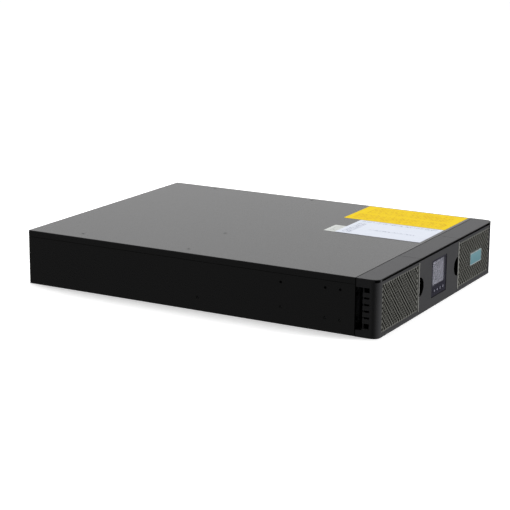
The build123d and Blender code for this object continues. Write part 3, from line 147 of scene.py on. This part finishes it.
# Zinc-plated sheet: grey with a slight blue cast and a rolled grain along its length.
zinc_steel = grained(
    "zinc_plated_sheet", "#9DA1A3", "#B4B6B5", 0.34, 1.2, 0.01, 12.0, (1, 0.06, 1), Metallic=1.0,
)
# Black-oxide steel screws, slightly oily.
black_oxide = grained("black_oxide_steel", "#1B1B1C", "#29292A", 0.38, 0.5, 0.01, 4.0, Metallic=0.6)
# Moulded ABS with a spark-eroded texture; the grit of about 0.5 mm scatters highlights.
bezel_abs = grained(
    "spark_textured_abs", "#404042", "#454546", 0.52, 0.5, 0.01, 30.0, IOR=1.5, Specular_IOR_Level=0.24,
)
# The same ABS moulded as a mesh, smoother on its webs; its lighter colour is a painted highlight for the
# light the webs' edges catch.
mesh_abs_painted_highlight = grained("moulded_mesh_abs", "#686863", "#72726D", 0.45, 0.8, 0.01, 14.0, IOR=1.5)
# Smooth dark ABS round the display.
display_abs = grained("polished_dark_abs", "#2B2A33", "#302F39", 0.30, 0.6, 0.003, 18.0, IOR=1.5)
# Silicone-coated keys: soft, dull, slightly violet grey.
key_rubber = grained("silicone_keys", "#34333F", "#3A3946", 0.62, 0.4, 0.006, 6.0, IOR=1.41)
# Black glass-filled nylon sockets: dull, with fibre flecks.
socket_nylon = grained(
    "glass_filled_nylon", "#131314", "#1D1D1E", 0.48, 0.7, 0.02, 5.0, (1, 1, 0.3), IOR=1.53,
)
# Grey polycarbonate of the battery connector.
connector_pc = grained("grey_polycarbonate", "#6D7073", "#787B7E", 0.36, 0.6, 0.01, 8.0, IOR=1.58)
# Nickel-plated blades: bright, warm, faintly drawn along their length.
nickel = grained("nickel_plate", "#B9B4A9", "#C9C5BB", 0.20, 0.3, 0.004, 5.0, (1, 0.05, 1), Metallic=1.0)
# White urea push caps.
reset_urea = grained("white_urea", "#D9D7CF", "#E3E1DA", 0.28, 0.8, 0.006, 5.0, IOR=1.54)
# Black PBT fans, semi-matt.
fan_pbt = grained("black_pbt", "#151516", "#1E1E1F", 0.42, 0.7, 0.012, 9.0, IOR=1.55)
# Bright nickel-plated wire of the guards.
guard_wire = grained("bright_wire", "#B7B8B8", "#C8C9C9", 0.18, 0.5, 0.004, 6.0, Metallic=1.0)
# Tinned steel shell of the data port.
tinned_shell = grained(
    "tinned_steel", "#AEB0AF", "#C0C1BF", 0.30, 0.5, 0.006, 4.0, (1, 0.1, 1), Metallic=1.0,
)
# Green polyamide terminal block.
terminal_pa = grained("green_polyamide", "#1F8A4C", "#279857", 0.40, 0.6, 0.008, 6.0, IOR=1.53)
# Turned brass stud and nuts.
brass = grained("turned_brass", "#B08D4B", "#C4A25E", 0.27, 0.3, 0.005, 3.0, (1, 0.1, 1), Metallic=1.0)
# Sealed battery cases in grey ABS.
battery_abs = grained("grey_battery_abs", "#3E4043", "#494B4E", 0.50, 0.9, 0.02, 25.0, IOR=1.53)
# Extruded aluminium with die lines along its length.
extruded_aluminium = grained(
    "extruded_aluminium", "#B6B8BA", "#C8CACB", 0.32, 0.8, 0.01, 15.0, (1, 0.03, 1), Metallic=1.0,
)
# Black moulded epoxy of transistors and switches.
moulded_epoxy = grained("moulded_epoxy", "#1A1A1B", "#242425", 0.46, 0.5, 0.01, 6.0, IOR=1.55)
# PVC shrink sleeve of the storage capacitors.
capacitor_sleeve = grained("pvc_sleeve", "#14203F", "#1B294A", 0.22, 2.0, 0.02, 10.0, IOR=1.53)
# Taped copper windings on ferrite.
taped_winding = grained("taped_winding", "#8A5A22", "#A36E2E", 0.45, 1.0, 0.06, 5.0, (1, 1, 4), IOR=1.5)
# Natural nylon standoffs.
natural_nylon = grained("natural_nylon", "#D2CFC2", "#DEDBCF", 0.42, 0.6, 0.008, 5.0, IOR=1.53)


def within(tree, place, **ranges):
    """1 where each named axis lies between its two values, in metres, and 0 elsewhere."""
    axes = add_node(tree, "ShaderNodeSeparateXYZ", {"Vector": place}).outputs
    inside = 1.0
    for axis, (start, end) in ranges.items():
        middle, half = (start + end) / 2, (end - start) / 2
        off = add_node(tree, "ShaderNodeMath", {0: axes[axis], 1: middle}, operation="SUBTRACT")
        away = add_node(tree, "ShaderNodeMath", {0: off.outputs[0]}, operation="ABSOLUTE")
        near = add_node(tree, "ShaderNodeMath", {0: away.outputs[0], 1: half}, operation="LESS_THAN")
        both = add_node(tree, "ShaderNodeMath", {0: near.outputs[0], 1: inside}, operation="MULTIPLY")
        inside = both.outputs[0]
    return inside


def repaint(material, colour, boxes):
    """Gives a material another colour inside boxes, each a range for some of the axes."""
    tree = material.node_tree
    shader = tree.nodes["Principled BSDF"]
    place = add_node(tree, "ShaderNodeTexCoord").outputs["Object"]
    paint = shader.inputs["Base Color"].links[0].from_socket
    for box in boxes:
        paint = between(tree, within(tree, place, **box), paint, linear(colour))
    tree.links.new(paint, shader.inputs["Base Color"])


# Painted shade: the deep hollows and grooves of the bezel, where hardly any light reaches, and a thin band
# along its back edge, are painted near black.
BEHIND_FRONT = FRONT + 34.0 * MM
repaint(bezel_abs, "#060606", [
    {"X": (-77.0 * MM, 77.0 * MM), "Y": (FRONT + 0.25 * MM, BEHIND_FRONT), "Z": (5.0 * MM, 79.0 * MM)},
    {"Y": (FRONT + 0.4 * MM, FRONT + 6.0 * MM), "Z": (81.3 * MM, 84.95 * MM)},
    {"Y": (BEHIND_FRONT - 0.2 * MM, BEHIND_FRONT + MM)},
])

# The plain rim round each mesh has the bezel's own colour, so only its webs carry the painted highlight.
MESH_BORDER = 3.2 * MM
mesh_low, mesh_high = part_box("right_grille")
repaint(mesh_abs_painted_highlight, "#434344", [
    {"Z": (mesh_low[2] - MM, mesh_low[2] + MESH_BORDER)},
    {"Z": (mesh_high[2] - MESH_BORDER, mesh_high[2] + MM)},
    {"X": (mesh_high[0] - MESH_BORDER, mesh_high[0] + MM)},
    {"X": (-mesh_high[0] - MM, -mesh_high[0] + MESH_BORDER)},
])


def solder_mask():
    """Green solder mask over copper: tracks show as lighter bands under the gloss."""
    material, tree, shader, place = new_material("green_solder_mask", Roughness=0.28, IOR=1.5)
    tracks = add_node(
        tree, "ShaderNodeTexBrick",
        {"Vector": place, "Scale": scale_for(6.0), "Mortar Size": 0.06,
         "Brick Width": 1.7, "Row Height": 0.4,
         "Color1": linear("#0F5A33"), "Color2": linear("#14683B"), "Mortar": linear("#1F7D4B")},
    )
    tree.links.new(tracks.outputs["Color"], shader.inputs["Base Color"])
    bump = add_node(tree, "ShaderNodeBump", {"Height": tracks.outputs["Fac"], "Distance": 0.03 * MM})
    tree.links.new(bump.outputs["Normal"], shader.inputs["Normal"])
    return material


def pane_glass():
    """Hard-coated acrylic, smoked slightly, with a faint haze that dulls its gloss."""
    material, tree, shader, place = new_material("hard_coated_acrylic", IOR=1.49, Alpha=0.16)
    shader.inputs["Base Color"].default_value = linear("#A2A2AE")
    haze = add_node(tree, "ShaderNodeTexNoise", {"Vector": place, "Scale": scale_for(9.0), "Detail": 2.0})
    gloss = add_node(
        tree, "ShaderNodeMapRange",
        {"Value": haze.outputs["Fac"], "From Min": 0.3, "From Max": 0.7, "To Min": 0.10, "To Max": 0.18},
    )
    tree.links.new(gloss.outputs["Result"], shader.inputs["Roughness"])
    return material


def display_glass():
    """Unlit liquid crystal: grey-violet film with a fine grid of faint dark cells."""
    material, tree, shader, place = new_material("unlit_lcd_film", Roughness=0.25, IOR=1.5)
    upright = add_node(tree, "ShaderNodeMapping", {"Vector": place, "Rotation": (math.pi / 2, 0, 0)})
    cells = add_node(
        tree, "ShaderNodeTexBrick",
        {"Vector": upright.outputs["Vector"],
         "Color1": linear("#D8D8E4"), "Color2": linear("#D5D5E1"), "Mortar": linear("#CBCBD8"),
         "Scale": scale_for(5.0), "Mortar Size": 0.05, "Brick Width": 0.8, "Row Height": 0.9},
    )
    tree.links.new(cells.outputs["Color"], shader.inputs["Base Color"])
    return material


def filter_foam():
    """Open-cell polyurethane foam: near black, with pits a millimetre across."""
    material, tree, shader, place = new_material("open_cell_foam", Roughness=0.95)
    pits = add_node(tree, "ShaderNodeTexVoronoi", {"Vector": place, "Scale": scale_for(1.3)})
    colour = between(tree, pits.outputs["Distance"], linear("#050505"), linear("#151515"))
    tree.links.new(colour, shader.inputs["Base Color"])
    bump = add_node(tree, "ShaderNodeBump", {"Height": pits.outputs["Distance"], "Distance": 0.8 * MM})
    tree.links.new(bump.outputs["Normal"], shader.inputs["Normal"])
    return material


def badge_plate():
    """Teal printed plate: flat ink with a fine weave, a little paler towards the top."""
    material, tree, shader, place = new_material("teal_printed_plate", Roughness=0.36, IOR=1.5)
    low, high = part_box("badge")
    height = add_node(tree, "ShaderNodeSeparateXYZ", {"Vector": place}).outputs["Z"]
    fade = add_node(
        tree, "ShaderNodeMapRange", {"Value": height, "From Min": low[2], "From Max": high[2]},
    )
    ink = between(tree, fade.outputs["Result"], linear("#5B848D"), linear("#70969E"))
    grain = add_node(tree, "ShaderNodeTexNoise", {"Vector": place, "Scale": scale_for(0.7)})
    speck = add_node(
        tree, "ShaderNodeMapRange", {"Value": grain.outputs["Fac"], "From Min": 0.45, "From Max": 0.75},
    )
    colour = between(tree, speck.outputs["Result"], ink, linear("#7FA3AA"))
    tree.links.new(colour, shader.inputs["Base Color"])
    return material


def printed_film(name, paper, ink, blocks, row_mm, gloss):
    """Label film with blocks of short bars in rows of row_mm, which stand in for its print.

    Each block is two corners seen from above, in millimetres.
    """
    material, tree, shader, place = new_material(name, Roughness=gloss, Specular_IOR_Level=0.02)
    fibre = add_node(tree, "ShaderNodeTexNoise", {"Vector": place, "Scale": scale_for(14.0), "Detail": 3.0})
    sheet = between(tree, fibre.outputs["Fac"], linear(paper[0]), linear(paper[1]))
    bars = add_node(
        tree, "ShaderNodeTexBrick",
        {"Vector": place, "Scale": scale_for(row_mm), "Mortar Size": 0.22, "Bias": -0.1,
         "Brick Width": 2.6, "Row Height": 1.0,
         "Color1": (1, 1, 1, 1), "Color2": (0, 0, 0, 1), "Mortar": (0, 0, 0, 1)},
    )
    for low, high in blocks:
        block = within(tree, place, X=(low[0] * MM, high[0] * MM), Y=(low[1] * MM, high[1] * MM))
        shown = add_node(tree, "ShaderNodeMath", {0: bars.outputs["Color"], 1: block}, operation="MULTIPLY")
        sheet = between(tree, shown.outputs["Value"], sheet, linear(ink))
    tree.links.new(sheet, shader.inputs["Base Color"])
    wrinkle = add_node(tree, "ShaderNodeBump", {"Height": fibre.outputs["Fac"], "Distance": 0.05 * MM})
    tree.links.new(wrinkle.outputs["Normal"], shader.inputs["Normal"])
    return material


solder_green = solder_mask()
pane_acrylic = pane_glass()
lcd_film = display_glass()
foam = filter_foam()
badge_ink = badge_plate()

FINISHES = {
    "black_powder_coat": powder_coat,
    "zinc_steel": zinc_steel,
    "black_screw": black_oxide,
    "bezel_abs": bezel_abs,
    "grille_abs": mesh_abs_painted_highlight,
    "badge_foil": badge_ink,
    "display_abs": display_abs,
    "display_pane": pane_acrylic,
    "lcd_glass": lcd_film,
    "circuit_board": solder_green,
    "switch_body": moulded_epoxy,
    "button_rubber": key_rubber,
    "socket_nylon": socket_nylon,
    "connector_grey": connector_pc,
    "nickel_pin": nickel,
    "reset_cap": reset_urea,
    "fan_pbt": fan_pbt,
    "guard_wire": guard_wire,
    "port_shell": tinned_shell,
    "terminal_green": terminal_pa,
    "brass_stud": brass,
    "battery_case": battery_abs,
    "heatsink_aluminium": extruded_aluminium,
    "capacitor_sleeve": capacitor_sleeve,
    "inductor_core": taped_winding,
    "nylon_post": natural_nylon,
}

for part in frame["record"]["subparts"]:
    piece = frame["nodes"][part["node"]]
    piece.data.materials.clear()
    piece.data.materials.append(FINISHES[part["material_slot"]])


# ---------------------------------------------------------------- modelled pieces
def start_plane(name, low, high, facing):
    """A flat rectangle between two corners, facing up or to the front, ready to shape."""
    low, high = Vector(low), Vector(high)
    middle, span = (low + high) / 2, high - low
    bpy.ops.object.select_all(action="DESELECT")
    turn = (math.pi / 2, 0, 0) if facing == "front" else (0, 0, 0)
    bpy.ops.mesh.primitive_plane_add(size=1.0, location=middle, rotation=turn)
    piece = bpy.context.object
    piece.name = name
    piece.scale = (span.x, span.z if facing == "front" else span.y, 1.0)
    bpy.ops.object.transform_apply(location=True, rotation=True, scale=True)
    return piece


def thicken(piece, shift):
    """Extrudes the selected outline by shift and turns its faces outwards."""
    bpy.ops.mesh.extrude_region_move(TRANSFORM_OT_translate={"value": shift})
    bpy.ops.mesh.select_all(action="SELECT")
    bpy.ops.mesh.normals_make_consistent(inside=False)
    bpy.ops.object.mode_set(mode="OBJECT")


def fit(piece, body, material):
    """Gives a finished piece its finish and makes it move with its body."""
    piece.data.materials.clear()
    piece.data.materials.append(material)
    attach(piece, body)


def plate(name, low, high, facing, thick, corner, rim=0.0):
    """A thin plate with round corners and a softened edge; rim leaves only a frame."""
    piece = start_plane(name, low, high, facing)
    bpy.ops.object.mode_set(mode="EDIT")
    bpy.ops.mesh.select_all(action="SELECT")
    bpy.ops.mesh.bevel(offset=corner, segments=6, affect="VERTICES")
    if rim:
        bpy.ops.mesh.select_all(action="SELECT")
        bpy.ops.mesh.inset(thickness=rim, depth=0.0)
        bpy.ops.mesh.delete(type="FACE")
        bpy.ops.mesh.select_all(action="SELECT")
    shift = (0, -thick, 0) if facing == "front" else (0, 0, thick)
    thicken(piece, shift)
    edge = piece.modifiers.new("edge", "BEVEL")
    edge.width = thick * 0.3
    edge.segments = 2
    bpy.context.view_layer.objects.active = piece
    bpy.ops.object.modifier_apply(modifier=edge.name)
    return piece


# Labels on the top cover: x and y of two corners, in millimetres.
YELLOW = ((114.0, -264.5), (215.0, -88.0))
WHITE = ((16.0, -264.5), (112.0, -120.0))
GREY = ((16.0, -125.0), (60.0, -100.0))
LABEL_THICK = 0.15
LABEL_CORNER = 2.0 * MM

yellow_film = printed_film(
    "yellow_vinyl", ("#DCBC00", "#E0C203"), "#C69A06",
    [((121.0, -256.0), (157.0, -98.0)), ((166.0, -250.0), (206.0, -104.0))], 3.6, 0.45,
)
white_film = printed_film(
    "white_polyester", ("#CACFD9", "#D3D7E1"), "#8B90A1",
    [((99.0, -256.0), (107.0, -128.0)), ((24.0, -142.0), (92.0, -128.0)), ((52.0, -240.0), (58.0, -160.0))],
    2.6, 0.40,
)
grey_film = printed_film(
    "pale_grey_polyester", ("#BEC1BE", "#C8CAC7"), "#9A9D9B", [((22.0, -118.0), (54.0, -106.0))], 2.6, 0.40,
)


def label(name, corners, lift, material):
    """A film label on the top cover, stuck lift above the steel."""
    (x0, y0), (x1, y1) = corners
    base = TOP + lift * MM
    low, high = (x0 * MM, y0 * MM, base), (x1 * MM, y1 * MM, base)
    fit(plate(name, low, high, "up", LABEL_THICK * MM, LABEL_CORNER), "chassis", material)


label("grey_label", GREY, 0.0, grey_film)
label("white_label", WHITE, LABEL_THICK, white_film)
label("yellow_label", YELLOW, 0.0, yellow_film)

# Foam dust filters behind the two meshes.
FOAM_THICK = 3.0 * MM
FOAM_GAP = 0.2 * MM
FOAM_INSET = 1.5 * MM
for side in ("left", "right"):
    low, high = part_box(f"{side}_grille")
    back = high[1] + FOAM_THICK + FOAM_GAP
    filter_sheet = plate(
        f"{side}_dust_filter",
        (low[0] + FOAM_INSET, back, low[2] + FOAM_INSET),
        (high[0] - FOAM_INSET, back, high[2] - FOAM_INSET),
        "front", FOAM_THICK, 1.0 * MM,
    )
    fit(filter_sheet, f"{side}_cover", foam)

# Painted highlight: a thin raised strip beside each mesh, next to the centre panel, painted light for the
# highlight along the mesh's inner edge.
EDGE_X = (75.0 * MM, 77.6 * MM)
EDGE_Z = (5.0 * MM, 79.5 * MM)
EDGE_PROUD = 0.35 * MM
EDGE_ROOT = FRONT + 0.05 * MM            # set a little into the cover, so no gap shows
strip_painted_highlight = grained("painted_highlight_strip_abs", "#8A8A86", "#949490", 0.40, 0.6, 0.006, 9.0, IOR=1.5)
for side, sign in (("left", -1), ("right", 1)):
    x0, x1 = sorted((sign * EDGE_X[0], sign * EDGE_X[1]))
    rib = plate(
        f"{side}_painted_highlight_strip", (x0, EDGE_ROOT, EDGE_Z[0]), (x1, EDGE_ROOT, EDGE_Z[1]),
        "front", EDGE_PROUD, 0.8 * MM,
    )
    fit(rib, f"{side}_cover", strip_painted_highlight)

# Silver frame round the badge.
BADGE_LOW, BADGE_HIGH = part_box("badge")
RIM_THICK = 0.3 * MM
RIM_WIDTH = 0.9 * MM
RIM_CORNER = 1.5 * MM
silver = grained("silver_hot_foil", "#B6BBBD", "#C6CBCC", 0.30, 0.4, 0.004, 6.0, Metallic=0.2)
frame_rim = plate(
    "badge_rim", (BADGE_LOW[0], FRONT, BADGE_LOW[2]), (BADGE_HIGH[0], FRONT, BADGE_HIGH[2]),
    "front", RIM_THICK, RIM_CORNER, rim=RIM_WIDTH,
)
fit(frame_rim, "right_cover", silver)

# Marks printed on the keys: triangles for up and down, rings for enter and power.
mark_ink = grained("pale_key_print", "#A9A9B6", "#B5B5C0", 0.50, 0.3, 0.002, 2.0, IOR=1.45)
MARK = 1.7 * MM
MARK_THICK = 0.12 * MM
MARK_LINE = 0.45 * MM                    # line width of a ring
MARK_ROUND = 0.2 * MM                    # softening of a triangle's corners


def start_disc(name, centre, radius, corners, turn):
    """A flat polygon that faces the front, ready to shape."""
    bpy.ops.object.select_all(action="DESELECT")
    bpy.ops.mesh.primitive_circle_add(
        vertices=corners, radius=radius, fill_type="NGON", location=centre, rotation=(math.pi / 2, turn, 0),
    )
    piece = bpy.context.object
    piece.name = name
    bpy.ops.object.transform_apply(location=True, rotation=True, scale=True)
    return piece


def key_mark(key, corners, turn, ring):
    """A printed mark on a key: a filled polygon, or a ring when ring is its line width."""
    low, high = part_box(f"{key}_button")
    centre = ((low[0] + high[0]) / 2, low[1], (low[2] + high[2]) / 2)
    piece = start_disc(f"{key}_mark", centre, MARK, corners, turn)
    bpy.ops.object.mode_set(mode="EDIT")
    bpy.ops.mesh.select_all(action="SELECT")
    if ring:
        bpy.ops.mesh.inset(thickness=ring, depth=0.0)
        bpy.ops.mesh.delete(type="FACE")
        bpy.ops.mesh.select_all(action="SELECT")
    else:
        bpy.ops.mesh.bevel(offset=MARK_ROUND, segments=2, affect="VERTICES")
        bpy.ops.mesh.select_all(action="SELECT")
    thicken(piece, (0, -MARK_THICK, 0))
    fit(piece, f"{key}_key", mark_ink)


key_mark("up", 3, 0.0, 0.0)
key_mark("down", 3, math.pi, 0.0)
key_mark("enter", 24, 0.0, MARK_LINE)
key_mark("power", 24, 0.0, MARK_LINE)

# ---------------------------------------------------------------- camera and light
CAMERA_AT = Vector((-2149.98, -1183.38, 651.47)) * MM
LOOKS_ALONG = Vector((0.847814, 0.471467, -0.242755))
ROLL = 0.00717                           # in radians
FIELD_LENGTH = 3.0947                    # focal length in frame widths

lens = bpy.data.cameras.new("camera")
lens.sensor_width = 36.0
lens.lens = lens.sensor_width * FIELD_LENGTH
lens.clip_end = 100.0
lens.shift_x = -0.0015
lens.shift_y = -0.0013
camera = bpy.data.objects.new("camera", lens)
bpy.context.scene.collection.objects.link(camera)
camera.location = CAMERA_AT
camera.rotation_euler = LOOKS_ALONG.to_track_quat("-Z", "Y").to_euler()
camera.rotation_euler.rotate_axis("Z", ROLL)
bpy.context.scene.camera = camera

FLOOR_HALF = 12.0
FLOOR_GLOW = 0.45                        # keeps the paper near white round the unit
bpy.ops.object.select_all(action="DESELECT")
bpy.ops.mesh.primitive_plane_add(size=2 * FLOOR_HALF)
floor = bpy.context.object
floor.name = "studio_floor"
paper, tree, shader, place = new_material("white_paper_sweep", Roughness=0.9, Specular_IOR_Level=0.0)
shader.inputs["Base Color"].default_value = linear("#FCFCFC")
shader.inputs["Emission Color"].default_value = linear("#FFFFFF")
shader.inputs["Emission Strength"].default_value = FLOOR_GLOW
floor.data.materials.append(paper)
floor.visible_glossy = False             # the paper lights nothing, so the low sides stay dark
floor.visible_diffuse = False

# Bright cloth behind the unit, a dim wall at its left, and a dark room elsewhere.
TO_CLOTH = (0.87, 0.49, 0.0)
TO_WALL = (-0.85, 0.47, -0.24)
world = bpy.data.worlds.new("studio")
world.use_nodes = True
tree = world.node_tree
heading = add_node(tree, "ShaderNodeTexCoord").outputs["Generated"]
away = add_node(
    tree, "ShaderNodeVectorMath", {0: heading, 1: TO_CLOTH}, operation="DOT_PRODUCT",
)
cloth = add_node(
    tree, "ShaderNodeMapRange",
    {"Value": away.outputs["Value"], "From Min": -0.35, "From Max": 0.45, "To Min": 0.12, "To Max": 1.02},
)
height = add_node(tree, "ShaderNodeSeparateXYZ", {"Vector": heading}).outputs["Z"]
above = add_node(
    tree, "ShaderNodeMapRange",
    {"Value": height, "From Min": -0.03, "From Max": 0.0, "To Min": 0.03, "To Max": 1.0},
)
glow = add_node(
    tree, "ShaderNodeMath", {0: cloth.outputs["Result"], 1: above.outputs["Result"]}, operation="MULTIPLY",
)
beside = add_node(
    tree, "ShaderNodeVectorMath", {0: heading, 1: TO_WALL}, operation="DOT_PRODUCT",
)
dim_wall = add_node(
    tree, "ShaderNodeMapRange",
    {"Value": beside.outputs["Value"], "From Min": 0.75, "From Max": 0.95, "To Min": 0.0, "To Max": 0.16},
)
room = add_node(
    tree, "ShaderNodeMath", {0: glow.outputs["Value"], 1: dim_wall.outputs["Result"]}, operation="ADD",
)
tree.links.new(room.outputs["Value"], tree.nodes["Background"].inputs["Strength"])
tree.nodes["Background"].inputs["Color"].default_value = (1, 1, 1, 1)
bpy.context.scene.world = world
bpy.context.scene.view_settings.view_transform = "Standard"


def softbox(name, place, size, watts):
    """A square area light that faces the unit, and that no surface mirrors."""
    light = bpy.data.lights.new(name, "AREA")
    light.size = size
    light.energy = watts
    lamp = bpy.data.objects.new(name, light)
    bpy.context.scene.collection.objects.link(lamp)
    lamp.location = place
    lamp.rotation_euler = (-Vector(place)).to_track_quat("-Z", "Y").to_euler()
    lamp.visible_glossy = False


softbox("overhead_softbox", (0.6, 0.4, 2.6), 1.6, 30.0)
softbox("rear_softbox", (0.5, 3.0, 1.1), 1.2, 50.0)
softbox("front_softbox", (1.3, -3.2, 0.9), 1.4, 105.0)
